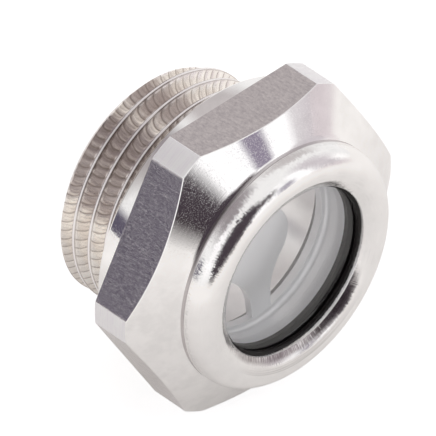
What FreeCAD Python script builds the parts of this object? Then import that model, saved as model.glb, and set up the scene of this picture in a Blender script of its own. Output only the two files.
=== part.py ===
"""Oil level sight glass with a G 1/2 thread: hexagon body with a rolled lip, two seals, glass disc and reflector.

The threaded shank is drawn as the cylinder of the thread's crest, with its chamfer and its run-out groove.

Each piece is drawn with its axis upright: height 0 is the seat, the window is up and the thread is below.
place() then lays it down, so in the row's frame the window looks along -Y and the top flat faces +Z.
All sizes are in millimetres.
"""
import math
import os

import FreeCAD
import Part

# Thread G 1/2 (ISO 228)
THREAD_RADIUS = 20.955 / 2
THREAD_PITCH = 1.814
THREAD_DEPTH = 0.640327 * THREAD_PITCH
THREAD_FLANK_DEG = 27.5      # half of the 55 degree thread angle
THREAD_LENGTH = 8.0          # from the seat to the end face
END_CHAMFER = 1.0            # height of the lead-in chamfer
CHAMFER_PAST_ROOT = 0.04     # it goes in this far past the thread's root
RELIEF_WIDTH = THREAD_PITCH  # run-out groove below the seat, wide enough for the cutter to end in it
RELIEF_CLEARANCE = 0.1       # how far the groove lies below the root
RELIEF_ROUND = 0.2           # at the groove's inner corner
UNDERCUT_DEPTH = 0.2         # the groove runs this far into the seat's face
UNDERCUT_CLEARANCE = 0.12    # and out this far past the crest, so that the washer's hole clears the thread

# Head, turned and then milled to a hexagon
FLAT_STANDOUT = 3.0225       # from the thread's crest out to a flat, for a 27 mm wrench
CORNER_STANDOUT = 1.5        # from a flat out to the turned corners
COLLAR_STEP = 0.5            # the collar lies this far below the flats
COLLAR_HEIGHT = 1.75
COLLAR_EDGE = 0.2
CONE_DEG = 30.0

# Bore, and the pocket that holds the stack
THREAD_WALL = 1.2            # between the bore and the relief groove
RECESS_STEP = 0.9            # from the bore out to the recess round the reflector's cup
SHOULDER_WIDTH = 0.4         # from the recess out to the pocket's wall
SHOULDER_HEIGHT = 5.66       # from the seat to the shoulder, where the reflector's rim sits
RECESS_GAP = 0.7             # under the reflector's floor
STACK_GAP = 0.1              # radial play of glass, seals and reflector in the pocket

# Stack, from the shoulder up
SHEET = 0.7                  # reflector sheet
CUP_GAP = 0.2                # between the reflector's cup and the recess
REFLECTOR_DEPTH = 2.49       # from the top of the rim to the top of the floor
REFLECTOR_BEND = 0.6         # inner bend radius at the floor
RIM_ROUND = 0.15             # inner edge of the rim
OPENING_MARGIN = 0.6         # from the cup's wall in to the two openings
HUB_RADIUS = 3.55
STRUT_WIDTH = 2.15
STRUT_FILLET = 5.7           # concave side between hub and strut
STRUT_TURN_DEG = 4.5         # how far the struts stand off the top flat's normal
REAR_SEAL = 0.4
GLASS = 2.0
GLASS_EDGE = 0.2
FRONT_SEAL = 0.3
SEAL_SHOWS = 0.2             # the seals reach this far inside the window's edge

# Bead: the wall rolled inwards over the glass
BEAD_WALL = 1.75             # from the pocket's wall out to the bead's
BEAD_GROOVE = 0.18           # turned line between the cone and the bead
BEAD_ROUND = 1.75            # from the bead's side to its shoulder
SHOULDER_DEG = 25.0          # slope of the shoulder
CROWN_INSET = 1.9            # from the bead's side in to the crown, where shoulder and lip would meet
CROWN_RISE = 2.69            # from the cone up to the crown
CROWN_ROUND = 1.65           # over the crown
LIP_OVERLAP = 1.55           # from the pocket's wall in to the window's edge
LIP_THICKNESS = 0.38         # at the window's edge
LIP_BEVEL_DEG = 32.0         # slope of the rolled face, from the crown down to the window's edge
LIP_BREAK = 0.12             # rounding of the window's edge

CLEARING = 1.0               # how far a cut runs past what it cuts

# Radii that follow
THREAD_ROOT = THREAD_RADIUS - THREAD_DEPTH
RELIEF_RADIUS = THREAD_ROOT - RELIEF_CLEARANCE
SEAT_RADIUS = THREAD_RADIUS + UNDERCUT_CLEARANCE
BORE_RADIUS = RELIEF_RADIUS - THREAD_WALL
RECESS_RADIUS = BORE_RADIUS + RECESS_STEP
POCKET_RADIUS = RECESS_RADIUS + SHOULDER_WIDTH
STACK_RADIUS = POCKET_RADIUS - STACK_GAP
LIP_RADIUS = POCKET_RADIUS - LIP_OVERLAP
SEAL_RADIUS = LIP_RADIUS - SEAL_SHOWS
BEAD_RADIUS = POCKET_RADIUS + BEAD_WALL
CROWN_RADIUS = BEAD_RADIUS - CROWN_INSET
CUP_OUTSIDE = RECESS_RADIUS - CUP_GAP
CUP_INSIDE = CUP_OUTSIDE - SHEET
OPENING_RADIUS = CUP_INSIDE - OPENING_MARGIN
FLAT_RADIUS = THREAD_RADIUS + FLAT_STANDOUT
HEAD_RADIUS = FLAT_RADIUS + CORNER_STANDOUT
COLLAR_RADIUS = FLAT_RADIUS - COLLAR_STEP

# Heights that follow
RIM_TOP = SHOULDER_HEIGHT + SHEET
FLOOR_TOP = RIM_TOP - REFLECTOR_DEPTH
FLOOR_UNDERSIDE = FLOOR_TOP - SHEET
RECESS_FLOOR = FLOOR_UNDERSIDE - RECESS_GAP
GLASS_BACK = RIM_TOP + REAR_SEAL
GLASS_FRONT = GLASS_BACK + GLASS
LIP_UNDERSIDE = GLASS_FRONT + FRONT_SEAL
LIP_EDGE = LIP_UNDERSIDE + LIP_THICKNESS
CROWN = LIP_EDGE + (CROWN_RADIUS - LIP_RADIUS) * math.tan(math.radians(LIP_BEVEL_DEG))
SHOULDER_FOOT = CROWN - CROWN_INSET * math.tan(math.radians(SHOULDER_DEG))
CONE_TOP = CROWN - CROWN_RISE
CORNER_HEIGHT = CONE_TOP - (HEAD_RADIUS - BEAD_RADIUS) * math.tan(math.radians(CONE_DEG))

UP = FreeCAD.Vector(0, 0, 1)


def point(radius, height, degrees=0.0):
    """A point at this radius and height, turned about the axis."""
    angle = math.radians(degrees)
    return FreeCAD.Vector(radius * math.cos(angle), radius * math.sin(angle), height)


def ring_of(outline):
    """Solid turned from (radius, height) corners; a third value on a corner is the round it gets.

    Where two rounds don't fit on the edge between them, both are made smaller until they do.
    """
    corners = [point(*c[:2]) for c in outline]
    rounds = [c[2] if len(c) == 3 else 0.0 for c in outline]
    count = len(corners)
    halves = []
    for i, p in enumerate(corners):
        back = corners[i - 1] - p
        ahead = corners[(i + 1) % count] - p
        halves.append(back.getAngle(ahead) / 2)
    runs = [r / math.tan(h) for r, h in zip(rounds, halves)]
    fits = [1.0] * count
    for i in range(count):
        k = (i + 1) % count
        length = corners[i].distanceToPoint(corners[k])
        if runs[i] + runs[k] > length:
            share = 0.98 * length / (runs[i] + runs[k])
            fits[i] = min(fits[i], share)
            fits[k] = min(fits[k], share)
    edges = []
    stops = []
    for i, p in enumerate(corners):
        back = (corners[i - 1] - p).normalize()
        ahead = (corners[(i + 1) % count] - p).normalize()
        run = runs[i] * fits[i]
        stops.append((p + back * run, p + ahead * run))
        if run:
            radius = rounds[i] * fits[i]
            middle = p + (back + ahead).normalize() * (radius / math.sin(halves[i]) - radius)
            edges.append(Part.Arc(stops[i][0], middle, stops[i][1]).toShape())
    for i in range(count):
        edges.append(Part.makeLine(stops[i - 1][1], stops[i][0]))
    outline_wire = Part.Wire(Part.sortEdges(edges)[0])
    return Part.Face(outline_wire).revolve(FreeCAD.Vector(), UP, 360)


def disc(radius, low, high):
    return Part.makeCylinder(radius, high - low, point(0, low), UP)


def place(solid):
    """Lays the upright drawing into the row's frame."""
    solid = solid.copy()
    solid.rotate(FreeCAD.Vector(), FreeCAD.Vector(1, 0, 0), 90)
    return solid


def blank():
    """The turned body before milling."""
    relief_flank = (THREAD_RADIUS - RELIEF_RADIUS) * math.tan(math.radians(THREAD_FLANK_DEG))
    return ring_of([
        (BORE_RADIUS, -THREAD_LENGTH),
        (THREAD_ROOT - CHAMFER_PAST_ROOT, -THREAD_LENGTH),
        (THREAD_RADIUS, -THREAD_LENGTH + END_CHAMFER),
        (THREAD_RADIUS, -RELIEF_WIDTH),
        (RELIEF_RADIUS, -RELIEF_WIDTH + relief_flank),
        (RELIEF_RADIUS, UNDERCUT_DEPTH, RELIEF_ROUND),
        (SEAT_RADIUS, UNDERCUT_DEPTH),
        (SEAT_RADIUS, 0),
        (COLLAR_RADIUS, 0, COLLAR_EDGE),
        (COLLAR_RADIUS, COLLAR_HEIGHT),
        (HEAD_RADIUS, COLLAR_HEIGHT),
        (HEAD_RADIUS, CORNER_HEIGHT),
        (BEAD_RADIUS, CONE_TOP),
        (BEAD_RADIUS - BEAD_GROOVE, CONE_TOP + BEAD_GROOVE),
        (BEAD_RADIUS, CONE_TOP + 2 * BEAD_GROOVE),
        (BEAD_RADIUS, SHOULDER_FOOT, BEAD_ROUND),
        (CROWN_RADIUS, CROWN, CROWN_ROUND),
        (LIP_RADIUS, LIP_EDGE, LIP_BREAK),
        (LIP_RADIUS, LIP_UNDERSIDE),
        (POCKET_RADIUS, LIP_UNDERSIDE),
        (POCKET_RADIUS, SHOULDER_HEIGHT),
        (RECESS_RADIUS, SHOULDER_HEIGHT),
        (RECESS_RADIUS, RECESS_FLOOR),
        (BORE_RADIUS, RECESS_FLOOR),
    ])


def outside_hexagon():
    """What the mill takes off: everything outside the flats, from the collar up."""
    corner = FLAT_RADIUS / math.cos(math.radians(30))
    corners = [point(corner, COLLAR_HEIGHT, 60 * k) for k in range(6)]
    hexagon = Part.Face(Part.makePolygon(corners + corners[:1]))
    height = CROWN - COLLAR_HEIGHT
    return disc(HEAD_RADIUS + CLEARING, COLLAR_HEIGHT, CROWN).cut(hexagon.extrude(UP * height))


def body():
    return blank().cut(outside_hexagon())


def seal(low, high):
    return disc(STACK_RADIUS, low, high).cut(disc(SEAL_RADIUS, low, high))


def glass():
    plain = disc(STACK_RADIUS, GLASS_BACK, GLASS_FRONT)
    rims = [e for e in plain.Edges if e.Closed and abs(e.BoundBox.ZLength) < 1e-6]
    return plain.makeChamfer(GLASS_EDGE, rims)


def opening(side):
    """One of the reflector's two openings: an arc outside, the hub and the concave strut sides inside."""
    edge = STRUT_WIDTH / 2
    corner_y = math.sqrt(OPENING_RADIUS ** 2 - edge ** 2)
    largest = ((0.95 * corner_y) ** 2 - HUB_RADIUS ** 2 + edge ** 2) / (2 * (HUB_RADIUS - edge))
    radius = min(STRUT_FILLET, largest)
    centre_x = edge + radius
    centre_y = math.sqrt((HUB_RADIUS + radius) ** 2 - centre_x ** 2)

    def at(x, y):
        return FreeCAD.Vector(x, y, FLOOR_UNDERSIDE - CLEARING)

    def fillet(sign):
        """Concave arc from the strut's side to the hub."""
        touch = HUB_RADIUS / (HUB_RADIUS + radius)
        hub = (centre_x * touch, sign * centre_y * touch)
        strut = (edge, sign * centre_y)
        mid = math.atan2(hub[1] + strut[1] - 2 * sign * centre_y, hub[0] + strut[0] - 2 * centre_x)
        middle = at(centre_x + radius * math.cos(mid), sign * centre_y + radius * math.sin(mid))
        return Part.Arc(at(*strut), middle, at(*hub)).toShape(), at(*strut), at(*hub)

    top, top_strut, top_hub = fillet(1)
    low, low_strut, low_hub = fillet(-1)
    edges = [
        Part.Arc(at(edge, corner_y), at(OPENING_RADIUS, 0), at(edge, -corner_y)).toShape(),
        Part.makeLine(at(edge, -corner_y), low_strut), low,
        Part.Arc(low_hub, at(HUB_RADIUS, 0), top_hub).toShape(), top,
        Part.makeLine(top_strut, at(edge, corner_y)),
    ]
    cut = Part.Face(Part.Wire(Part.sortEdges(edges)[0])).extrude(UP * (SHEET + 2 * CLEARING))
    cut.rotate(point(0, 0), UP, 180 * side + STRUT_TURN_DEG)
    return cut


def reflector():
    """Pressed cup: flat rim on the shoulder, steep wall, floor with hub, two struts and two openings."""
    cup = ring_of([
        (0, FLOOR_TOP),
        (CUP_INSIDE, FLOOR_TOP, REFLECTOR_BEND),
        (CUP_INSIDE, RIM_TOP, RIM_ROUND),
        (STACK_RADIUS, RIM_TOP),
        (STACK_RADIUS, SHOULDER_HEIGHT),
        (CUP_OUTSIDE, SHOULDER_HEIGHT),
        (CUP_OUTSIDE, FLOOR_UNDERSIDE, REFLECTOR_BEND + SHEET),
        (0, FLOOR_UNDERSIDE),
    ])
    return cup.cut(opening(0)).cut(opening(1))


def build():
    return {
        "body": body(),
        "reflector": reflector(),
        "rear_seal": seal(RIM_TOP, GLASS_BACK),
        "glass": glass(),
        "front_seal": seal(GLASS_FRONT, LIP_UNDERSIDE),
    }


os.makedirs("parts", exist_ok=True)
for name, solid in build().items():
    place(solid).exportStep("parts/%s.step" % name)
    print(name, len(solid.Solids), "solid", round(solid.Volume, 1), "mm3", "valid" if solid.isValid() else "INVALID")
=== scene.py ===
"""Looks of the oil level sight glass: machined aluminium, glass, rubber seals and a lacquered reflector."""

import math
from collections import namedtuple

import bmesh
import bpy
from mathutils import Euler, Matrix, Vector


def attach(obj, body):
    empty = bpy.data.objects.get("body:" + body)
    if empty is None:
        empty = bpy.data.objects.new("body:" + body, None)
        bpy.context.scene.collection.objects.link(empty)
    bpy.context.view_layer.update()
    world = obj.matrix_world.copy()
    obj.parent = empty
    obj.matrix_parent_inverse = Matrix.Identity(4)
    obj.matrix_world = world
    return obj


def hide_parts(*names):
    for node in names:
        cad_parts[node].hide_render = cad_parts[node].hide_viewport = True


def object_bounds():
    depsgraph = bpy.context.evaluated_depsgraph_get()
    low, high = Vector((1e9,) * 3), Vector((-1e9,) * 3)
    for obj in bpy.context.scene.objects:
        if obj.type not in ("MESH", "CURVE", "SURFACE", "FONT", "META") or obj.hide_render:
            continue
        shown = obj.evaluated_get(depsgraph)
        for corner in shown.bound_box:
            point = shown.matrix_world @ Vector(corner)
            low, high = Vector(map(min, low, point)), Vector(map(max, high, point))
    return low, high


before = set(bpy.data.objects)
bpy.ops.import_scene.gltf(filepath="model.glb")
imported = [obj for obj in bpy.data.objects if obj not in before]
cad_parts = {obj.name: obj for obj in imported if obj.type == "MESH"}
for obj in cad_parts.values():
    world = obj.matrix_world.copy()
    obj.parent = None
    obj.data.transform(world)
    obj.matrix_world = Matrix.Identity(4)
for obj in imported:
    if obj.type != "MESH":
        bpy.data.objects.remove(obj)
cad_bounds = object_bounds()

MM = 0.001

# Sizes in millimetres, as in the part's source. Heights are measured from the seat towards the window.

THREAD_RADIUS = 20.955 / 2
THREAD_PITCH = 1.814
THREAD_DEPTH = 0.640327 * THREAD_PITCH
THREAD_FLANK_DEG = 27.5      # half of the 55 degree thread angle
THREAD_LENGTH = 8.0          # from the seat to the end face
THREAD_LEAD = 1.11           # on +X, a groove's centre line lies this far past the end face
END_CHAMFER = 1.0            # height of the lead-in chamfer
CHAMFER_PAST_ROOT = 0.04     # it goes in this far past the thread's root
RELIEF_WIDTH = THREAD_PITCH  # run-out groove below the seat
RELIEF_CLEARANCE = 0.1       # how far the groove lies below the root
RELIEF_ROUND = 0.2           # at the groove's inner corner
UNDERCUT_DEPTH = 0.2         # the groove runs this far into the seat's face
UNDERCUT_CLEARANCE = 0.12    # and out this far past the crest

FLAT_RADIUS = 13.5
HEAD_RADIUS = 15.0
COLLAR_RADIUS = 13.0
COLLAR_HEIGHT = 1.75
COLLAR_EDGE = 0.2
CONE_DEG = 30.0

THREAD_WALL = 1.2            # between the bore and the relief groove
RECESS_STEP = 0.9            # from the bore out to the recess round the reflector's cup
SHOULDER_WIDTH = 0.4         # from the recess out to the pocket's wall
SHOULDER_HEIGHT = 5.66       # from the seat to the shoulder, where the reflector's rim sits
RECESS_GAP = 0.7             # under the reflector's floor
STACK_GAP = 0.1              # radial play of glass, seals and reflector in the pocket

SHEET = 0.7                  # reflector sheet
CUP_GAP = 0.2                # between the reflector's cup and the recess
REFLECTOR_DEPTH = 2.49       # from the top of the rim to the top of the floor
REFLECTOR_BEND = 0.6         # inner bend radius at the floor
RIM_ROUND = 0.15             # inner edge of the rim
OPENING_MARGIN = 0.6         # from the cup's wall in to the two openings
HUB_RADIUS = 3.55
STRUT_HALF = 2.15 / 2
STRUT_FILLET = 5.7           # concave side between hub and strut
STRUT_TURN_DEG = 4.5         # how far the struts stand off the top flat's normal
REAR_SEAL = 0.4
GLASS = 2.0
FRONT_SEAL = 0.3

BEAD_WALL = 1.75             # from the pocket's wall out to the bead's
BEAD_GROOVE = 0.18           # turned line between the cone and the bead
BEAD_ROUND = 1.75            # from the bead's side to its shoulder
SHOULDER_DEG = 25.0          # slope of the shoulder
CROWN_INSET = 1.9            # from the bead's side in to the crown, where shoulder and lip would meet
CROWN_RISE = 2.69            # from the cone up to the crown
CROWN_ROUND = 1.65           # over the crown
LIP_OVERLAP = 1.55           # from the pocket's wall in to the window's edge
LIP_THICKNESS = 0.38         # at the window's edge
LIP_BEVEL_DEG = 32.0         # slope of the rolled face, from the crown down to the window's edge
LIP_BREAK = 0.12             # rounding of the window's edge
GROOVE_ROUND = 0.05          # at the bottom of the turned line
GROOVE_EDGE = 0.08           # and at its edge on the bead
BORE_EDGE = 0.1              # at the bore's end

# Sizes that follow from them

THREAD_SLOPE = math.tan(math.radians(THREAD_FLANK_DEG))
THREAD_START = -THREAD_LENGTH - THREAD_LEAD
THREAD_ROOT = THREAD_RADIUS - THREAD_DEPTH
ROOT_HALF = (THREAD_PITCH - 2 * THREAD_DEPTH * THREAD_SLOPE) / 4      # half the width of a groove's bottom
END_RADIUS = THREAD_ROOT - CHAMFER_PAST_ROOT
RELIEF_RADIUS = THREAD_ROOT - RELIEF_CLEARANCE
THREAD_TOP = -RELIEF_WIDTH + (THREAD_RADIUS - RELIEF_RADIUS) * THREAD_SLOPE    # foot of the last flank
SEAT_RADIUS = THREAD_RADIUS + UNDERCUT_CLEARANCE
BORE_RADIUS = RELIEF_RADIUS - THREAD_WALL
RECESS_RADIUS = BORE_RADIUS + RECESS_STEP
POCKET_RADIUS = RECESS_RADIUS + SHOULDER_WIDTH
STACK_RADIUS = POCKET_RADIUS - STACK_GAP
LIP_RADIUS = POCKET_RADIUS - LIP_OVERLAP
BEAD_RADIUS = POCKET_RADIUS + BEAD_WALL
CROWN_RADIUS = BEAD_RADIUS - CROWN_INSET
CUP_OUTSIDE = RECESS_RADIUS - CUP_GAP
CUP_INSIDE = CUP_OUTSIDE - SHEET
OPENING_RADIUS = CUP_INSIDE - OPENING_MARGIN

RIM_TOP = SHOULDER_HEIGHT + SHEET
FLOOR_TOP = RIM_TOP - REFLECTOR_DEPTH
FLOOR_UNDERSIDE = FLOOR_TOP - SHEET
RECESS_FLOOR = FLOOR_UNDERSIDE - RECESS_GAP
GLASS_FRONT = RIM_TOP + REAR_SEAL + GLASS
LIP_UNDERSIDE = GLASS_FRONT + FRONT_SEAL
LIP_EDGE = LIP_UNDERSIDE + LIP_THICKNESS
CROWN = LIP_EDGE + (CROWN_RADIUS - LIP_RADIUS) * math.tan(math.radians(LIP_BEVEL_DEG))
SHOULDER_FOOT = CROWN - CROWN_INSET * math.tan(math.radians(SHOULDER_DEG))
CONE_TOP = CROWN - CROWN_RISE
CONE_ANGLE = math.radians(CONE_DEG)


# Shader helpers

class Nodes:
    """Builds a node tree from short calls, which take sockets or plain values and return an output socket."""

    def __init__(self, tree):
        self.tree = tree

    def node(self, kind, **settings):
        node = self.tree.nodes.new(kind)
        for key, value in settings.items():
            setattr(node, key, value)
        return node

    def put(self, socket, value):
        """Links an input to a socket, or sets it to a plain value."""
        if isinstance(value, bpy.types.NodeSocket):
            self.tree.links.new(value, socket)
        else:
            socket.default_value = value

    def fill(self, node, values):
        """Fills a node's inputs in their order and returns its first output."""
        for socket, value in zip(node.inputs, values):
            self.put(socket, value)
        return node.outputs[0]

    def math(self, operation, *values):
        return self.fill(self.node("ShaderNodeMath", operation=operation), values)

    def add(self, first, second):
        return self.math("ADD", first, second)

    def subtract(self, first, second):
        return self.math("SUBTRACT", first, second)

    def multiply(self, first, second):
        return self.math("MULTIPLY", first, second)

    def absolute(self, value):
        return self.math("ABSOLUTE", value)

    def vector(self, operation, *values, output=0):
        node = self.node("ShaderNodeVectorMath", operation=operation)
        self.fill(node, values)
        return node.outputs[output]

    def scaled(self, vector, factor):
        node = self.node("ShaderNodeVectorMath", operation="SCALE")
        self.put(node.inputs["Scale"], factor)
        return self.fill(node, [vector])

    def combine(self, x, y, z):
        return self.fill(self.node("ShaderNodeCombineXYZ"), (x, y, z))

    def split(self, vector):
        node = self.node("ShaderNodeSeparateXYZ")
        self.fill(node, [vector])
        return node.outputs

    def noise(self, vector, scale=1.0, detail=2.0, rough=0.5):
        node = self.node("ShaderNodeTexNoise")
        self.put(node.inputs["Vector"], vector)
        node.inputs["Scale"].default_value = scale
        node.inputs["Detail"].default_value = detail
        node.inputs["Roughness"].default_value = rough
        return node.outputs["Fac"]

    def stretched(self, vector, fineness, **settings):
        """Noise over a position, with a fineness of its own along each axis."""
        return self.noise(self.vector("MULTIPLY", vector, fineness), **settings)

    def streaks(self, *coordinates, **settings):
        """Noise over up to three coordinates, each given as a pair with its fineness."""
        spread = [self.multiply(value, fineness) for value, fineness in coordinates]
        spread += [0.0] * (3 - len(spread))
        return self.noise(self.combine(*spread), **settings)

    def ramp(self, value, low, high, at_low, at_high):
        """Goes from at_low to at_high while the value goes from low to high, and is level beyond them."""
        return self.fill(self.node("ShaderNodeMapRange", clamp=True), (value, low, high, at_low, at_high))

    def rise(self, value, low, high):
        return self.ramp(value, low, high, 0.0, 1.0)

    def fade(self, value, low, high):
        return self.ramp(value, low, high, 1.0, 0.0)

    def mix(self, factor, first, second):
        """Goes from the first colour to the second. A colour is a socket or three numbers."""
        node = self.node("ShaderNodeMix", data_type="RGBA")
        self.put(node.inputs["Factor"], factor)
        for socket, color in zip(node.inputs[6:8], (first, second)):
            self.put(socket, color if isinstance(color, bpy.types.NodeSocket) else (*color, 1.0))
        return node.outputs[2]

    def bump(self, height, depth, normal=None):
        """A normal bent by a height, where 1 stands for the depth in millimetres."""
        node = self.node("ShaderNodeBump")
        self.put(node.inputs["Height"], height)
        node.inputs["Distance"].default_value = depth * MM
        node.inputs["Strength"].default_value = 1.0
        if normal is not None:
            self.put(node.inputs["Normal"], normal)
        return node.outputs[0]


def material(name, color, metallic, rough):
    """A Principled material with plain values, which patterns may take over; with its builder and shader."""
    mat = bpy.data.materials.new(name)
    mat.use_nodes = True
    shader = mat.node_tree.nodes["Principled BSDF"]
    shader.inputs["Base Color"].default_value = (*color, 1.0)
    shader.inputs["Metallic"].default_value = metallic
    shader.inputs["Roughness"].default_value = rough
    return mat, Nodes(mat.node_tree), shader


def axis_coordinates(n):
    """Object position in millimetres, about the thread's axis: radius, angle (radians), height, position."""
    place = n.scaled(n.node("ShaderNodeTexCoord").outputs["Object"], 1.0 / MM)
    x, y, z = n.split(place)
    radius = n.math("SQRT", n.add(n.multiply(x, x), n.multiply(z, z)))
    return radius, n.math("ARCTAN2", z, x), n.multiply(y, -1.0), place


QUARTER_TURN = 0.25          # of the anisotropic highlight, which then spreads across the marks


def brushed_round(n, shader, place, amount):
    """Spreads the highlights as fine marks round the thread's axis do."""
    shader.inputs["Anisotropic"].default_value = amount
    shader.inputs["Anisotropic Rotation"].default_value = QUARTER_TURN
    around = n.vector("CROSS_PRODUCT", (0.0, 1.0, 0.0), place)
    n.put(shader.inputs["Tangent"], n.vector("NORMALIZE", around))


def tilted(n, normal, lean):
    """Leans a normal towards the window's side, or away from it where lean is negative."""
    transform = n.node("ShaderNodeVectorTransform", vector_type="VECTOR",
                       convert_from="OBJECT", convert_to="WORLD")
    window_side = n.fill(transform, [(0.0, -1.0, 0.0)])
    return n.vector("NORMALIZE", n.vector("ADD", normal, n.scaled(window_side, lean)))


# Turned metal

ALUMINIUM = (0.91, 0.90, 0.895)
# Painted shade: darker metal in the turned line between the cone and the bead.
GROOVE_SHADE_METAL = (0.58, 0.55, 0.55)
DULLER = 0.93                # the clouds' share of a metal's brightness
RING_FINENESS = 9.0          # of the turning marks; higher is finer


def mottled(n, place, color):
    """A metal's colour with soft, faintly duller clouds."""
    dull = tuple(channel * DULLER for channel in color)
    clouds = n.noise(place, scale=0.5, detail=4.0, rough=0.65)
    return n.mix(n.rise(clouds, low=0.4, high=0.6), dull, color)


def turned_metal(name, rough=0.06, spread=0.3, ring_depth=0.001, grain_depth=0.0012, color=ALUMINIUM):
    """Bright turned aluminium: fine rings round the axis and a speckled grain."""
    mat, n, shader = material(name, color, metallic=1.0, rough=rough)
    radius, angle, height, place = axis_coordinates(n)
    brushed_round(n, shader, place, spread)
    rings = n.streaks((radius, RING_FINENESS), (height, RING_FINENESS), (angle, 1.0))
    specks = n.rise(n.noise(place, scale=10.0, rough=0.7), low=0.56, high=0.70)
    n.put(shader.inputs["Base Color"], mottled(n, place, color))
    n.put(shader.inputs["Normal"], n.bump(specks, grain_depth, normal=n.bump(rings, ring_depth)))
    return mat


# Rolled metal

RING_SHADE = (0.885, 0.875, 0.87)
RING_DEPTH = 0.003
# Painted shade: the lip's lower part is darkened, as where it mirrors the shadowed floor.
LOWER_SHADE = (0.50, 0.475, 0.465)
LOWER_SHADE_TOP = (-9.0, -5.5)      # millimetres up from the axis between which the painted shade on the lower part ends
# Dark strokes along the window's edge on the lip's lower part.
EDGE_DARK_COLOR = (0.20, 0.165, 0.17)
EDGE_DARK_TOP = (-5.5, -3.5)     # the same of the dark strokes
EDGE_DARK_WIDTH = (0.35, 0.7)    # millimetres out from the window's edge between which it ends
EDGE_DARK_SHARES = (0.25, 0.85)  # how strong it is between the strokes and on them
LOWER_SHADE_SHARE = 0.6             # how strong the painted shade on the lower part is
LOWER_SHADE_SHARES = (0.3, 1.0)     # the same between the rings and on them
LEANING_WIDTH = 1.0          # from the window's edge out to where the surface no longer leans in


def lip_darkening(n, color, radius, place, strokes, rings):
    """The lower part of the lip: painted shade that darkens it, and dark strokes along the window's edge."""
    lift = n.split(place)[2]
    near_edge = n.fade(radius, *(LIP_RADIUS + width for width in EDGE_DARK_WIDTH))
    edge_dark_place = n.multiply(near_edge, n.fade(lift, *EDGE_DARK_TOP))
    # Dark strokes near the window's edge, low on the lip.
    edge_dark = n.multiply(edge_dark_place, n.ramp(strokes, 0.38, 0.54, *EDGE_DARK_SHARES))
    # Painted shade that darkens the lip's lower part.
    lower_shade = n.multiply(n.ramp(lift, *LOWER_SHADE_TOP, LOWER_SHADE_SHARE, 0.0), n.ramp(rings, 0.35, 0.6, *LOWER_SHADE_SHARES))
    return n.mix(edge_dark, n.mix(lower_shade, color, LOWER_SHADE), EDGE_DARK_COLOR)


def rolled_metal(name, fraying=0.8, rough=0.13, stroke_depth=0.0015, inner_lean=0.0):
    """The bead: a rolled surface with short strokes across it, which fray the edges of what it mirrors.

    inner_lean turns the surface further in towards the window's edge, as the rolling leaves it. It adds
    painted shade to the lower part, and dark strokes along the window's edge.
    """
    mat, n, shader = material(name, ALUMINIUM, metallic=1.0, rough=rough)
    radius, angle, height, place = axis_coordinates(n)
    brushed_round(n, shader, place, amount=0.5)
    across = n.subtract(radius, height)
    strokes = n.streaks((angle, 100.0), (across, 2.0), rough=0.7)
    rings = n.streaks((across, 14.0), (angle, 2.0), detail=1.0)
    color = n.mix(n.rise(rings, low=0.42, high=0.58), mottled(n, place, ALUMINIUM), RING_SHADE)
    if inner_lean:
        # Painted shade on the lip's lower part, and dark strokes along the window's edge.
        color = lip_darkening(n, color, radius, place, strokes, rings)
    n.put(shader.inputs["Base Color"], color)
    rolled_in = n.ramp(radius, LIP_RADIUS, LIP_RADIUS + LEANING_WIDTH, -inner_lean, 0.0)
    lean = n.add(n.multiply(n.subtract(strokes, 0.5), fraying), rolled_in)
    normal = n.bump(strokes, stroke_depth, normal=n.bump(rings, RING_DEPTH))
    n.put(shader.inputs["Normal"], tilted(n, normal, lean))
    return mat


# Milled and brushed metal. Finenesses of position go by millimetres along X, the axis and Z.

FLAT_METAL = (0.68, 0.66, 0.655)
FLAT_DARK = (0.55, 0.525, 0.54)
FLAT_BRIGHT = (0.84, 0.81, 0.80)
CUTTER_LINES = (16.0, 0.5, 16.0)
MILLED_GRAIN = (20.0, 14.0, 20.0)
SCRATCHES = (0.9, 6.0, 2.2)
FLAT_CLOUDS = (5.0, 2.5, 5.0)
MILLED_DEPTH = 0.004
LINE_WEIGHT = 1.2
SCRATCH_WEIGHT = 0.15

FACET_METAL = (0.96, 0.94, 0.96)
FACET_DULL = (0.94, 0.915, 0.95)
FACET_BRIGHT = (1.0, 1.0, 1.0)
FACET_DEPTH = 0.03


def milled_metal():
    """The flats: duller, with cutter lines along the axis, a speckled grain and stray scratches."""
    mat, n, shader = material("milled", FLAT_METAL, metallic=1.0, rough=0.12)
    place = axis_coordinates(n)[3]
    lines = n.multiply(n.stretched(place, CUTTER_LINES, rough=0.6), LINE_WEIGHT)
    grain = n.stretched(place, MILLED_GRAIN, detail=3.0, rough=0.7)
    scratches = n.multiply(n.stretched(place, SCRATCHES, scale=1.6, detail=1.0), SCRATCH_WEIGHT)
    n.put(shader.inputs["Normal"], n.bump(n.add(lines, n.add(grain, scratches)), MILLED_DEPTH))
    clouds = n.stretched(place, FLAT_CLOUDS, detail=5.0, rough=0.8)
    n.put(shader.inputs["Base Color"], n.mix(n.rise(clouds, low=0.35, high=0.65), FLAT_DARK, FLAT_BRIGHT))
    return mat


def facet_metal():
    """The head's corners: brushed bright round the axis."""
    mat, n, shader = material("facet", FACET_METAL, metallic=0.25, rough=0.4)
    _, angle, height, place = axis_coordinates(n)
    brushed_round(n, shader, place, amount=0.6)
    lines = n.streaks((height, 8.0), (angle, 4.0), detail=4.0, rough=0.75)
    n.put(shader.inputs["Base Color"], n.mix(n.rise(lines, low=0.35, high=0.6), FACET_DULL, FACET_BRIGHT))
    n.put(shader.inputs["Normal"], n.bump(lines, FACET_DEPTH))
    return mat


# Threaded metal. Places across the thread are shares of the pitch: 0 in a groove's middle, 0.5 on the crest.

THREAD_METAL = (0.80, 0.75, 0.68)
GROUND_DULL = (0.90, 0.855, 0.81)
GROUND_BRIGHT = (1.0, 0.97, 0.93)
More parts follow.
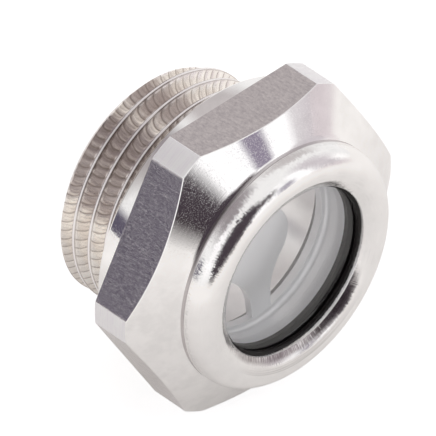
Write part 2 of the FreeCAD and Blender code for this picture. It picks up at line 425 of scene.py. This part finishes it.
# Painted shade along the lines where the cutter's scallops meet.
SCALLOP_SHADE = (0.36, 0.31, 0.28)
BORDER = (0.22, 0.18, 0.17)
CREST = (0.99, 0.96, 0.96)
GROUND_ROUGH = 0.24
CREST_ROUGH = 0.5
SCALLOPS_END = (0.36, 0.42)
BORDER_START = (0.39, 0.41)
CREST_START = (0.44, 0.46)
CHATTER = 72                 # cutter marks in a turn of the thread
BOW_MIDDLE = 0.21            # place across the thread from which each mark bows
BOW = 25.0                   # how much it bows
DRIFT = 2.5                  # how unevenly the marks follow each other
SCALLOP_SHADE_SHARE = 0.75
BORDER_SHARE = 0.45
THREAD_BUMPS = 0.035
GRAIN_WEIGHT = 0.35
# Painted reflection: the thread's ground is darkened in patches round the axis, where it would mirror the
# studio's dark panels.
PAINTED_DARK_REFLECTION = (0.43, 0.365, 0.365)
PAINTED_REFLECTION_PATCHES = ((137, 24, 0.45), (95, 10, 0.45))     # angle, half width (degrees) and strength of each patch
REFLECTION_PATCH_SOFTNESS = 3.0       # degrees on both sides of a patch's edge
REFLECTION_PATCH_BEND = 4.0           # how far that edge wanders, in degrees


def off_groove(n, angle, height):
    """Place across the thread, the same on both sides of a groove."""
    turn = n.math("DIVIDE", angle, 2 * math.pi)
    pitches = n.math("DIVIDE", n.subtract(height, THREAD_START), THREAD_PITCH)
    return n.absolute(n.subtract(n.math("FRACT", n.add(n.subtract(pitches, turn), 0.5)), 0.5))


def scallops(n, off, angle, place):
    """The cutter's scalloped marks, bowed across each groove: 0 on the ridges between them."""
    bow = n.multiply(n.math("POWER", n.absolute(n.subtract(off, BOW_MIDDLE)), 2.0), BOW)
    drift = n.multiply(n.noise(place, scale=0.3), DRIFT)
    phase = n.add(n.add(n.multiply(angle, CHATTER / 2), bow), drift)
    return n.absolute(n.math("SINE", phase))


def with_painted_reflections(n, ground, angle, clouds):
    """The thread's ground with its patches of painted dark reflection, and how strong they are."""
    wander = n.multiply(n.subtract(clouds, 0.5), REFLECTION_PATCH_BEND)
    bent = n.add(n.math("DEGREES", angle), wander)
    strength = 0.0
    for middle, half, share in PAINTED_REFLECTION_PATCHES:
        apart = n.absolute(n.subtract(bent, middle))
        here = n.ramp(apart, half - REFLECTION_PATCH_SOFTNESS, half + REFLECTION_PATCH_SOFTNESS, share, 0.0)
        ground = n.mix(here, ground, PAINTED_DARK_REFLECTION)
        strength = n.math("MAXIMUM", strength, here)
    return ground, strength


def thread_metal():
    """The thread: warm metal with cutter marks in its groove, painted shade where they meet, patches of
    painted dark reflection, and a bright crest between dark borders.
    """
    mat, n, shader = material("thread_metal", THREAD_METAL, metallic=1.0, rough=GROUND_ROUGH)
    _, angle, height, place = axis_coordinates(n)
    off = off_groove(n, angle, height)
    scallop = scallops(n, off, angle, place)
    in_groove = n.fade(off, *SCALLOPS_END)
    grain = n.multiply(n.noise(place, scale=5.0, detail=3.0, rough=0.7), GRAIN_WEIGHT)
    n.put(shader.inputs["Normal"], n.bump(n.add(n.multiply(scallop, in_groove), grain), THREAD_BUMPS))
    clouds = n.rise(n.noise(place, scale=0.5, detail=3.0, rough=0.6), low=0.4, high=0.6)
    # Patches of painted dark reflection on the ground.
    ground, reflection_strength = with_painted_reflections(n, n.mix(clouds, GROUND_DULL, GROUND_BRIGHT), angle, clouds)
    # Painted shade where the scallops meet, in the groove only.
    scallop_shade = n.multiply(n.multiply(n.fade(scallop, low=0.0, high=0.4), in_groove), SCALLOP_SHADE_SHARE)
    # The dark borders are stronger within the patches of painted reflection.
    border = n.multiply(n.rise(off, *BORDER_START), n.add(reflection_strength, BORDER_SHARE))
    edged = n.mix(border, n.mix(scallop_shade, ground, SCALLOP_SHADE), BORDER)
    n.put(shader.inputs["Base Color"], n.mix(n.rise(off, *CREST_START), edged, CREST))
    n.put(shader.inputs["Roughness"], n.ramp(off, *CREST_START, GROUND_ROUGH, CREST_ROUGH))
    return mat


# Rubber, lacquer and glass

REAR_RUBBER = (0.022, 0.019, 0.018)
FRONT_RUBBER = (0.008, 0.006, 0.006)
LACQUER = (0.95, 0.96, 0.985)
CLEAR = (1.0, 1.0, 1.0)
GLASS_IOR = 1.5


def rubber(name, color, specular):
    """Black rubber with a fine grain."""
    mat, n, shader = material(name, color, metallic=0.0, rough=0.5)
    shader.inputs["Specular IOR Level"].default_value = specular
    place = axis_coordinates(n)[3]
    n.put(shader.inputs["Normal"], n.bump(n.noise(place, scale=6.0), depth=0.01))
    return mat


def lacquer():
    """Pale lacquer on the reflector, with fine strokes up its wall."""
    mat, n, shader = material("lacquer", LACQUER, metallic=0.3, rough=0.3)
    radius, angle, height, place = axis_coordinates(n)
    strokes = n.streaks((angle, 70.0), (height, 1.2), (radius, 1.0))
    n.put(shader.inputs["Normal"], n.bump(n.add(strokes, n.noise(place, scale=3.0)), depth=0.006))
    return mat


def clear_glass():
    mat, _, shader = material("clear_glass", CLEAR, metallic=0.0, rough=0.0)
    shader.inputs["Transmission Weight"].default_value = 1.0
    shader.inputs["IOR"].default_value = GLASS_IOR
    return mat


# Mesh helpers

MERGE_DISTANCE = 2e-7        # metres
ROUND_ROOM = 0.98            # the share of a side that the rounds at its two ends may take


def point(radius, height, angle):
    """A vertex in metres in the row's frame; angle in radians from +X towards +Z."""
    return (radius * math.cos(angle) * MM, -height * MM, radius * math.sin(angle) * MM)


def lathe(outline, angles):
    """A row of vertices round the axis for each point of an outline."""
    return [point(radius, height, angle) for radius, height, _ in outline for angle in angles]


def grid_faces(rows, columns, closed=True):
    """Four-cornered faces between rows of vertices. A closed grid joins the last column to the first."""
    faces = []
    for i in range(rows - 1):
        low = i * columns
        high = low + columns
        for k in range(columns if closed else columns - 1):
            j = (k + 1) % columns
            faces.append((low + k, high + k, high + j, low + j))
    return faces


def add_object(name, data):
    item = bpy.data.objects.new(name, data)
    bpy.context.scene.collection.objects.link(item)
    return item


def make_piece(name, verts, faces, materials, indices, replaced, sharp_deg=20.0):
    """Adds a mesh piece that rides on the body and stands for a CAD node. Edges over sharp_deg stay sharp."""
    mesh = bpy.data.meshes.new(name)
    mesh.from_pydata(verts, [], faces)
    for mat in materials:
        mesh.materials.append(mat)
    mesh.polygons.foreach_set("material_index", indices)
    work = bmesh.new()
    work.from_mesh(mesh)
    bmesh.ops.remove_doubles(work, verts=work.verts, dist=MERGE_DISTANCE)
    bmesh.ops.recalc_face_normals(work, faces=work.faces)
    for face in work.faces:
        face.smooth = True
    limit = math.radians(sharp_deg)
    for edge in work.edges:
        edge.smooth = len(edge.link_faces) == 2 and edge.calc_face_angle(0.0) < limit
    work.to_mesh(mesh)
    work.free()
    piece = add_object(name, mesh)
    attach(piece, "root")
    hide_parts(replaced)


def fitted_runs(corners, sizes, halves):
    """How far each round reaches along its sides. Two that don't fit on one side are both made smaller."""
    runs = [size / math.tan(half) for size, half in zip(sizes, halves)]
    shares = [1.0] * len(corners)
    for i in range(len(corners) - 1):
        room = ROUND_ROOM * (corners[i + 1] - corners[i]).length
        if runs[i] + runs[i + 1] > room:
            share = room / (runs[i] + runs[i + 1])
            shares[i] = min(shares[i], share)
            shares[i + 1] = min(shares[i + 1], share)
    return [run * share for run, share in zip(runs, shares)]


def rounded(outline, steps=6):
    """(radius, height, metal[, round]) corners to plain points; a metal goes with the side after a corner."""
    corners = [Vector(corner[:2]) for corner in outline]
    sizes = [corner[3] if len(corner) == 4 else 0.0 for corner in outline]
    halves = [math.pi / 2] * len(outline)
    for i in range(1, len(outline) - 1):
        halves[i] = (corners[i - 1] - corners[i]).angle(corners[i + 1] - corners[i]) / 2
    runs = fitted_runs(corners, sizes, halves)
    result = []
    for i, here in enumerate(corners):
        mat = outline[i][2]
        if not sizes[i]:
            result.append((here.x, here.y, mat))
            continue
        back = (corners[i - 1] - here).normalized()
        ahead = (corners[i + 1] - here).normalized()
        centre = here + (back + ahead).normalized() * (runs[i] / math.cos(halves[i]))
        start = here + back * runs[i] - centre
        sweep = start.angle_signed(here + ahead * runs[i] - centre)
        for k in range(steps + 1):
            p = centre + Matrix.Rotation(-sweep * k / steps, 2) @ start
            result.append((p.x, p.y, outline[i - 1][2] if k < steps // 2 else mat))
    return result


# Head

TURNED, MILLED, BEAD, BEVEL, BORE, FACET, GROOVED = range(7)      # the metals
SIDES = 6
SECTOR = 360 / SIDES         # degrees of a flat with its half corners
EDGE = 0.05                  # width of the hexagon's broken edges
NICK = 0.2                   # degrees from a flat's edge to the columns on both sides of it
FLAT_STEPS = 72              # columns across a flat
CORNER_STEPS = 10            # columns over a corner
CONE_ROWS = 8                # rows up the cone
Column = namedtuple("Column", "angle flat off")     # off is the angle from the nearest flat's middle


def head_columns():
    """Columns round the head: dense on the flats, with close pairs at the flats' edges, which look broken."""
    half = math.degrees(math.acos(FLAT_RADIUS / HEAD_RADIUS))
    corner = SECTOR - 2 * half
    angles = []
    for k in range(SIDES):
        middle = (k + 0.5) * SECTOR
        for i in range(FLAT_STEPS + 1):
            angles.append((middle - half + NICK + (2 * half - 2 * NICK) * i / FLAT_STEPS, True))
        for i in range(CORNER_STEPS + 1):
            angles.append((middle + half + NICK + (corner - 2 * NICK) * i / CORNER_STEPS, False))
    return [Column(math.radians(a), flat, math.radians(a % SECTOR - SECTOR / 2)) for a, flat in angles]


def seat_outline():
    """From the relief groove over the seat to the collar's top."""
    return rounded([
        (RELIEF_RADIUS, THREAD_TOP, TURNED),
        (RELIEF_RADIUS, UNDERCUT_DEPTH, TURNED, RELIEF_ROUND),
        (SEAT_RADIUS, UNDERCUT_DEPTH, TURNED),
        (SEAT_RADIUS, 0.0, TURNED),
        (COLLAR_RADIUS, 0.0, TURNED, COLLAR_EDGE),
        (COLLAR_RADIUS, COLLAR_HEIGHT, TURNED),
    ])


def cone_height(radius):
    return CONE_TOP - (radius - BEAD_RADIUS) * math.tan(CONE_ANGLE)


def wrench_column(column):
    """Radii and heights up one column of the hexagon and the cone, with broken edges."""
    out = min(HEAD_RADIUS, FLAT_RADIUS / math.cos(column.off)) if column.flat else HEAD_RADIUS
    cone_foot = out - EDGE * math.cos(CONE_ANGLE)
    rows = [(out - EDGE, COLLAR_HEIGHT), (out, COLLAR_HEIGHT + EDGE), (out, cone_height(out) - EDGE)]
    for step in range(CONE_ROWS + 1):
        share = step / (CONE_ROWS + 1)
        radius = cone_foot - (cone_foot - BEAD_RADIUS) * share
        rows.append((radius, cone_height(radius)))
    return rows


WRENCH_METALS = [TURNED, MILLED] + [TURNED] * (CONE_ROWS + 2)     # of the faces above each of those rows


def window_outline():
    """From the cone's top over the bead, down into the pocket and through the bore to the end face."""
    return rounded([
        (BEAD_RADIUS, CONE_TOP, GROOVED),
        (BEAD_RADIUS - BEAD_GROOVE, CONE_TOP + BEAD_GROOVE, GROOVED, GROOVE_ROUND),
        (BEAD_RADIUS, CONE_TOP + 2 * BEAD_GROOVE, BEAD, GROOVE_EDGE),
        (BEAD_RADIUS, SHOULDER_FOOT, BEAD, BEAD_ROUND),
        (CROWN_RADIUS, CROWN, BEVEL, CROWN_ROUND),
        (LIP_RADIUS, LIP_EDGE, BEAD, LIP_BREAK),
        (LIP_RADIUS, LIP_UNDERSIDE, BORE),
        (POCKET_RADIUS, LIP_UNDERSIDE, BORE),
        (POCKET_RADIUS, SHOULDER_HEIGHT, BORE),
        (RECESS_RADIUS, SHOULDER_HEIGHT, BORE),
        (RECESS_RADIUS, RECESS_FLOOR, BORE),
        (BORE_RADIUS, RECESS_FLOOR, BORE),
        (BORE_RADIUS, -THREAD_LENGTH, TURNED, BORE_EDGE),
        (END_RADIUS, -THREAD_LENGTH, TURNED),
    ], steps=10)


def row_metals(metal, columns):
    """The metal of each face above a row. Between the milled flats, the corners are brushed."""
    if metal != MILLED:
        return [metal] * len(columns)
    following = columns[1:] + columns[:1]
    return [MILLED if here.flat and there.flat else FACET for here, there in zip(columns, following)]


def head():
    """The body but for its thread. Its metals are listed in the order of their names above."""
    columns = head_columns()
    angles = [column.angle for column in columns]
    seat = seat_outline()
    window = window_outline()
    verts = lathe(seat, angles)
    for row in zip(*map(wrench_column, columns)):
        verts += [point(radius, height, angle) for (radius, height), angle in zip(row, angles)]
    verts += lathe(window, angles)
    rows = [metal for _, _, metal in seat] + WRENCH_METALS + [metal for _, _, metal in window]
    indices = []
    for metal in rows[:-1]:
        indices += row_metals(metal, columns)
    metals = [
        turned_metal("turned"),
        milled_metal(),
        rolled_metal("bead_metal"),
        rolled_metal("bevel_metal", fraying=0.9, rough=0.15, stroke_depth=0.005, inner_lean=0.2),
        turned_metal("bore_metal", rough=0.3, spread=0.6, ring_depth=0.002, grain_depth=0.0),
        facet_metal(),
        # Painted shade: the turned line is given darker metal.
        turned_metal("grooved", rough=0.3, color=GROOVE_SHADE_METAL),
    ]
    make_piece("body_head", verts, grid_faces(len(rows), len(columns)), metals, indices, "body")


# Thread

THREAD_COLUMNS = 480         # in a turn
FLANK_STEPS = 8              # rows up a flank
PITCHES = range(-1, 6)       # more than the shank has; rows that lie past its ends are left out
ROW_MARGIN = 0.3             # rows this far past an end are kept, as they are drawn in onto it


def half_groove():
    """Places of the rows from a groove's middle to near the crest's, as shares of the pitch."""
    flank = THREAD_PITCH / 2 - 2 * ROOT_HALF
    places = [0.0, ROOT_HALF / 2, ROOT_HALF]
    for i in range(1, FLANK_STEPS):
        places.append(ROOT_HALF + flank * i / FLANK_STEPS)
    places += [THREAD_PITCH / 2 - ROOT_HALF, THREAD_PITCH / 2 - ROOT_HALF / 2]
    return [place / THREAD_PITCH for place in places]


def thread_rows():
    """Places of all rows on +X, in pitches from the thread's start."""
    half = half_groove()
    groove = sorted({-share for share in half} | {*half, 0.5})
    rows = [k + share for k in PITCHES for share in groove]
    low = -THREAD_LENGTH - ROW_MARGIN
    high = THREAD_TOP + ROW_MARGIN
    return [u for u in rows if low < THREAD_START + THREAD_PITCH * (u + 1)
            and THREAD_START + THREAD_PITCH * u < high]


def thread_radius(angle, height):
    """Radius of the threaded shank, with the end chamfer and the run-out groove."""
    phase = (height - THREAD_START) / THREAD_PITCH - angle / (2 * math.pi)
    off = abs((phase + 0.5) % 1.0 - 0.5) * THREAD_PITCH
    groove = THREAD_ROOT + max(0.0, off - ROOT_HALF) / THREAD_SLOPE
    chamfer = END_RADIUS + (height + THREAD_LENGTH) * (THREAD_RADIUS - END_RADIUS) / END_CHAMFER
    relief = THREAD_RADIUS - max(0.0, height + RELIEF_WIDTH) / THREAD_SLOPE
    return max(RELIEF_RADIUS, min(THREAD_RADIUS, groove, chamfer, relief))


def thread():
    """The helical thread. Its rows climb one pitch in a turn and are held between the shank's ends."""
    rows = thread_rows()
    verts = []
    for u in rows:
        for k in range(THREAD_COLUMNS + 1):
            angle = 2 * math.pi * k / THREAD_COLUMNS
            height = THREAD_START + THREAD_PITCH * (u + k / THREAD_COLUMNS)
            height = min(max(height, -THREAD_LENGTH), THREAD_TOP)
            verts.append(point(thread_radius(angle, height), height, angle))
    faces = grid_faces(len(rows), THREAD_COLUMNS + 1, closed=False)
    indices = [0] * len(faces)
    make_piece("body_thread", verts, faces, [thread_metal()], indices, "body", sharp_deg=24.0)


# Reflector

STRUT_CORNER = math.asin(STRUT_HALF / OPENING_RADIUS)    # angle from a strut's middle to its end's corner
STRUT_STEPS = 6              # columns over half a strut
OPENING_STEPS = 60           # columns over half an opening
PLATE_SHARES = (0.0, 0.35, 0.7, 1.0)     # rows of hub and struts, from the axis out to their edge
LEAST_ANGLE = 1e-6           # radians; a smaller angle or difference doesn't count
LEAST_RADIUS = 1e-4          # of the row round the axis, whose vertices are merged


def reflector_columns():
    """(angle, angle from the nearest strut's middle) of the columns round the reflector."""
    quarter = []
    for low, high, steps in ((0.0, STRUT_CORNER, STRUT_STEPS), (STRUT_CORNER, math.pi / 2, OPENING_STEPS)):
        quarter += [low + (high - low) * i / steps for i in range(steps)]
    half_turn = quarter + [math.pi / 2] + [math.pi - off for off in reversed(quarter[1:])]
    start = math.pi / 2 + math.radians(STRUT_TURN_DEG)
    columns = []
    for side in (0.0, math.pi):
        columns += [(start - (turn + side), min(turn, math.pi - turn)) for turn in half_turn]
    return columns


def opening_edge(off):
    """Distance from the axis to an opening's near edge; off is the angle from the nearest strut's middle."""
    reach = HUB_RADIUS + STRUT_FILLET
    fillet_x = STRUT_HALF + STRUT_FILLET
    fillet_y = math.sqrt(reach ** 2 - fillet_x ** 2)
    touch = math.atan2(fillet_x, fillet_y)
    if off >= touch:
        return HUB_RADIUS
    if off <= math.atan2(STRUT_HALF, fillet_y):
        return min(OPENING_RADIUS, STRUT_HALF / math.sin(max(off, LEAST_ANGLE)))
    lean = off - touch
    return reach * math.cos(lean) - math.sqrt(STRUT_FILLET ** 2 - (reach * math.sin(lean)) ** 2)


def cup_outline():
    """The ring, the wall and the rim, from the openings' outer edge round to its underside."""
    return rounded([
        (OPENING_RADIUS, FLOOR_TOP, 0),
        (CUP_INSIDE, FLOOR_TOP, 0, REFLECTOR_BEND),
        (CUP_INSIDE, RIM_TOP, 0, RIM_ROUND),
        (STACK_RADIUS, RIM_TOP, 0),
        (STACK_RADIUS, SHOULDER_HEIGHT, 0),
        (CUP_OUTSIDE, SHOULDER_HEIGHT, 0),
        (CUP_OUTSIDE, FLOOR_UNDERSIDE, 0, REFLECTOR_BEND + SHEET),
        (OPENING_RADIUS, FLOOR_UNDERSIDE, 0),
    ], steps=8)


def reflector():
    """The pressed sheet: the cup, and the plate of hub and struts inside it."""
    columns = reflector_columns()
    count = len(columns)
    cup = cup_outline()
    verts = lathe(cup, [angle for angle, _ in columns])
    faces = grid_faces(len(cup), count)
    plate_start = len(verts)
    plate = [(share, FLOOR_TOP) for share in PLATE_SHARES]
    plate += [(share, FLOOR_UNDERSIDE) for share in reversed(PLATE_SHARES)]
    for share, height in plate:
        for angle, off in columns:
            verts.append(point(max(opening_edge(off) * share, LEAST_RADIUS), height, angle))
    for face in grid_faces(len(plate), count):
        faces.append(tuple(plate_start + corner for corner in face))
    # The ring's cut edge is closed along the openings. Where a strut runs into the ring, there is none.
    last_row = (len(cup) - 1) * count
    in_opening = [off >= STRUT_CORNER - LEAST_ANGLE for _, off in columns]
    for k in range(count):
        j = (k + 1) % count
        if in_opening[k] and in_opening[j]:
            faces.append((k, j, last_row + j, last_row + k))
    indices = [0] * len(faces)
    make_piece("reflector_sheet", verts, faces, [lacquer()], indices, "reflector",
               sharp_deg=35.0)


# Studio. Directions are azimuths from +X towards +Y and elevations, in degrees.

WHITE = (1.0, 1.0, 1.0)
WORLD_LIGHT = (0.98, 0.97, 0.965)
PANELS = [      # azimuth and its half width, elevation and its half height, softness, colour
    ((140, 50), (55, 18), 10, (0.34, 0.305, 0.32)),
    ((-166, 14), (28, 22), 8, (1.15, 1.13, 1.14)),
    ((97, 34), (10, 26), 8, (0.17, 0.13, 0.115)),
    ((146, 12), (4, 9), 3, (0.12, 0.105, 0.15)),
    ((46, 28), (42, 18), 8, (0.60, 0.56, 0.56)),
    ((-32, 18), (8, 40), 11, (0.68, 0.63, 0.66)),
    ((-17, 9), (6, 9), 5, (1.20, 1.18, 1.17)),
    ((-76, 9), (12, 30), 3, (1.25, 1.24, 1.25)),
    ((-80, 8), (25, 10), 3, (0.12, 0.10, 0.105)),
    ((-54, 6), (12, 30), 2, (1.25, 1.24, 1.25)),
    ((-64.5, 4.5), (11, 7), 1.5, (0.30, 0.26, 0.34)),
]
DARK_SIDE = ((-114, 30), (18, 34), 2, (0.066, 0.051, 0.062))     # the dark room, with an oval outline


def direction_angles(n, direction):
    """Azimuth and elevation of a direction."""
    x, y, z = n.split(direction)
    return n.math("DEGREES", n.math("ARCTAN2", y, x)), n.math("DEGREES", n.math("ARCSINE", z))


def beside(n, azimuth, middle):
    """Degrees between an azimuth and that of a panel's middle."""
    return n.absolute(n.math("WRAP", n.subtract(azimuth, middle), 180.0, -180.0))


def above(n, elevation, middle):
    """Degrees between an elevation and that of a panel's middle."""
    return n.absolute(n.subtract(elevation, middle))


def panel(n, azimuth, elevation, width, height, softness):
    """1 inside a panel, 0 outside."""
    sides = [(beside(n, azimuth, width[0]), width[1]), (above(n, elevation, height[0]), height[1])]
    return n.multiply(*(n.fade(off, half - softness, half + softness) for off, half in sides))


def dark_side(n, azimuth, elevation):
    """1 inside the dark room's oval, 0 outside."""
    (turn, wide), (lift, tall), softness, _ = DARK_SIDE
    sides = [(beside(n, azimuth, turn), wide), (above(n, elevation, lift), tall)]
    shares = [n.math("POWER", n.math("DIVIDE", off, half), 2.0) for off, half in sides]
    return n.fade(n.math("SQRT", n.add(*shares)), 1 - softness / wide, 1 + softness / wide)


def studio():
    """White for the camera and plain light through the glass. All else meets soft panels and a dark side."""
    world = bpy.data.worlds.new("studio")
    bpy.context.scene.world = world
    world.use_nodes = True
    n = Nodes(world.node_tree)
    azimuth, elevation = direction_angles(n, n.node("ShaderNodeTexCoord").outputs["Generated"])
    light = WORLD_LIGHT
    for width, height, softness, color in PANELS:
        light = n.mix(panel(n, azimuth, elevation, width, height, softness), light, color)
    light = n.mix(dark_side(n, azimuth, elevation), light, DARK_SIDE[3])
    path = n.node("ShaderNodeLightPath")
    light = n.mix(path.outputs["Is Transmission Ray"], light, WORLD_LIGHT)
    background = world.node_tree.nodes["Background"]
    n.put(background.inputs["Color"], n.mix(path.outputs["Is Camera Ray"], light, WHITE))


# Floor. Its parts are told apart by their direction from a point on the object.

FLOOR_HALF = 1.5             # half of its width, in metres
VIEWPOINT = (-5.0 * MM, -8.0 * MM, 4.0 * MM)
ROOM_START = (-8.0, -1.5)    # elevations between which the paper gives way to the dark room
PAPER = (0.90, 0.89, 0.87)
PAPER_IN_ROOM = (0.05, 0.04, 0.045)
CAMERA_PAPER = (0.5, 0.5, 0.5)           # with the glow below it comes out white, and still takes a shadow
CAMERA_GLOW = (0.78, 0.78, 0.78)
# The glow is dimmer near the object, as a painted shadow of it.
NEAR_GLOW = (0.16, 0.155, 0.15)
FAR_GLOW = (0.36, 0.355, 0.345)
GLOW_REACH = (20 * MM, 70 * MM)          # distances of the near and the far glow
ROOM_GLOW = (0.02, 0.015, 0.018)
ROSE_GLOW = (0.12, 0.07, 0.105)          # a greyish pink strip of the far floor
ROSE_AZIMUTH = -34.0
ROSE_SIDES = (3.0, 20.0)                 # degrees beside that azimuth between which it ends
ROSE_START = (-7.0, -5.0)                # elevations between which it starts
GLASS_GLOW = (0.46, 0.455, 0.46)         # as seen through the glass


def floor_glow(n, place, azimuth, elevation, in_room):
    """What metal mirrors of the floor: dimmer near the object, as a painted shadow of it, with a rose strip,
    and dark in the room.
    """
    reach = n.vector("DISTANCE", place, VIEWPOINT, output="Value")
    # Painted shadow: the glow rises from near to far.
    glow = n.mix(n.rise(reach, *GLOW_REACH), NEAR_GLOW, FAR_GLOW)
    rose = n.multiply(n.fade(beside(n, azimuth, ROSE_AZIMUTH), *ROSE_SIDES), n.rise(elevation, *ROSE_START))
    return n.mix(in_room, n.mix(rose, glow, ROSE_GLOW), ROOM_GLOW)


def floor_paper():
    """White paper with the object's shadow for the camera. Only the camera, metal and glass see its glow."""
    mat, n, shader = material("floor_paper", PAPER, metallic=0.0, rough=0.9)
    shader.inputs["Specular IOR Level"].default_value = 0.0
    place = n.node("ShaderNodeTexCoord").outputs["Object"]
    direction = n.vector("NORMALIZE", n.vector("SUBTRACT", place, VIEWPOINT))
    azimuth, elevation = direction_angles(n, direction)
    in_room = n.multiply(dark_side(n, azimuth, elevation), n.rise(elevation, *ROOM_START))
    rays = n.node("ShaderNodeLightPath").outputs
    camera_ray = rays["Is Camera Ray"]
    through_glass = rays["Is Transmission Ray"]
    paper = n.mix(in_room, PAPER, PAPER_IN_ROOM)
    n.put(shader.inputs["Base Color"], n.mix(camera_ray, paper, CAMERA_PAPER))
    glow = n.mix(through_glass, floor_glow(n, place, azimuth, elevation, in_room), GLASS_GLOW)
    n.put(shader.inputs["Emission Color"], n.mix(camera_ray, glow, CAMERA_GLOW))
    seen = n.math("MAXIMUM", camera_ray, n.math("MAXIMUM", rays["Is Glossy Ray"], through_glass))
    n.put(shader.inputs["Emission Strength"], seen)
    return mat


def floor():
    """The paper that the part lies on."""
    low = min(corner[2] for corner in cad_bounds)
    corners = [(x * FLOOR_HALF, y * FLOOR_HALF, low) for x, y in ((-1, -1), (1, -1), (1, 1), (-1, 1))]
    mesh = bpy.data.meshes.new("floor")
    mesh.from_pydata(corners, [], [(0, 1, 2, 3)])
    mesh.materials.append(floor_paper())
    piece = add_object("floor", mesh)


# Camera

CAMERA_PLACE = (-453.902, -471.876, 557.147)     # millimetres
CAMERA_TURN = (49.6019, 0.251, -44.1342)         # degrees about X, Y and Z
LENS = 875.23                # a long lens, so the picture is nearly parallel
SENSOR = 36.0
CLIP = (0.01, 10.0)          # metres


def camera():
    """The photo's camera."""
    data = bpy.data.cameras.new("camera")
    data.lens = LENS
    data.sensor_width = SENSOR
    data.clip_start, data.clip_end = CLIP
    cam = add_object("camera", data)
    turn = Euler([math.radians(degrees) for degrees in CAMERA_TURN]).to_matrix().to_4x4()
    cam.matrix_world = Matrix.Translation(Vector(CAMERA_PLACE) * MM) @ turn
    bpy.context.scene.camera = cam


def dress(node, mat):
    """Gives a CAD piece that stays its material."""
    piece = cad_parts[node]
    piece.data.materials.clear()
    piece.data.materials.append(mat)


head()
thread()
reflector()
dress("glass", clear_glass())
dress("rear_seal", rubber("rear_rubber", REAR_RUBBER, specular=0.5))
dress("front_seal", rubber("front_rubber", FRONT_RUBBER, specular=0.2))
studio()
floor()
camera()
bpy.context.scene.view_settings.view_transform = "Standard"
